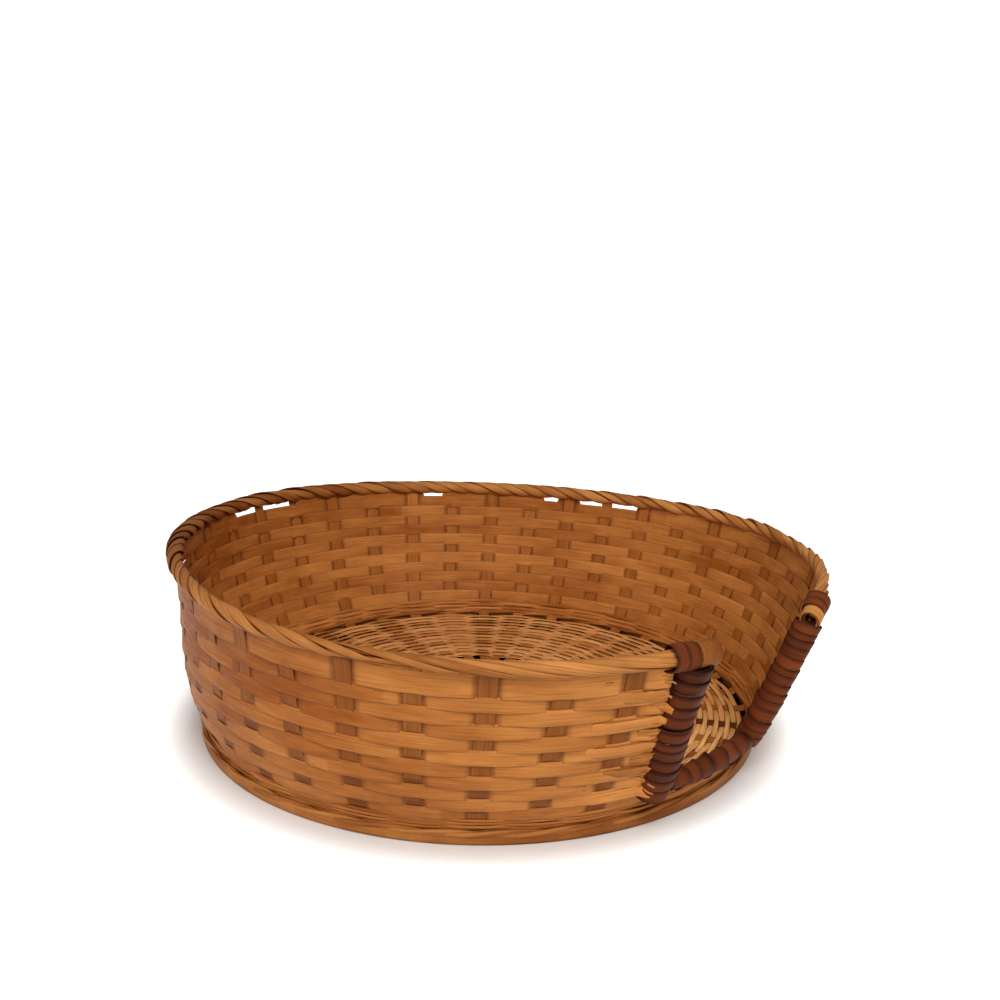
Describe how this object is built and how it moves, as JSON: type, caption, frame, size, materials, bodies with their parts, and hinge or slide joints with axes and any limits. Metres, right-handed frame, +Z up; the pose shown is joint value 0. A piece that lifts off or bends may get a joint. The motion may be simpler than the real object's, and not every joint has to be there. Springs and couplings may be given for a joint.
{
  "type": "splint utility basket",
  "caption": "Round shallow basket of woven flat splints with a rolled rim and a notch in its wall framed by cane-bound posts and a sill, for holding small goods within reach.",
  "frame": {"origin": "on the floor under the middle of the basket's bounding box", "axes": "+Z up; the notch in the wall faces -Y; +X to the right of someone who looks in through the notch"},
  "size_m": [0.2804, 0.2918, 0.0803],
  "materials": {
    "splint": "split bamboo, warm honey brown, satin",
    "base_splint": "narrow split bamboo, straw to honey, satin",
    "hoop_splint": "split bamboo, satin",
    "weaver_splint": "wide split bamboo, honey with paler straw runs, satin",
    "rim_splint": "rolled split bamboo with darker edges, satin",
    "rim_core_rod": "raw cane, matt",
    "frame_rod": "raw cane, matt",
    "brown_cane": "stained red-brown cane, semi-gloss"
  },
  "bodies": {
    "root": {"splint_01": "splint", "splint_02": "splint", "splint_03": "splint", "splint_04": "splint", "splint_05": "splint", "splint_06": "splint", "splint_07": "splint", "splint_08": "splint", "splint_09": "splint", "splint_10": "splint", "splint_11": "splint", "splint_12": "splint", "splint_13": "splint", "splint_14": "splint", "splint_15": "splint", "splint_16": "splint", "splint_17": "splint", "splint_18": "splint", "splint_19": "splint", "base_weaver_a": "base_splint", "base_weaver_b": "base_splint", "foot_hoop": "hoop_splint", "thin_weaver_01": "weaver_splint", "thin_weaver_02": "weaver_splint", "wall_weaver_01": "weaver_splint", "wall_weaver_02": "weaver_splint", "wall_weaver_03": "weaver_splint", "wall_weaver_04": "weaver_splint", "wall_weaver_05": "weaver_splint", "wall_weaver_06": "weaver_splint", "wall_weaver_07": "weaver_splint", "wall_weaver_08": "weaver_splint", "wall_weaver_09": "weaver_splint", "wall_weaver_10": "weaver_splint", "wall_weaver_11": "weaver_splint", "rim_roll": "rim_splint", "rim_core": "rim_core_rod", "left_post": "frame_rod", "right_post": "frame_rod", "sill": "frame_rod", "left_post_wrap": "brown_cane", "right_post_wrap": "brown_cane", "sill_wrap": "brown_cane", "left_rim_lashing": "brown_cane", "right_rim_lashing": "brown_cane"}
  },
  "joints": []
}
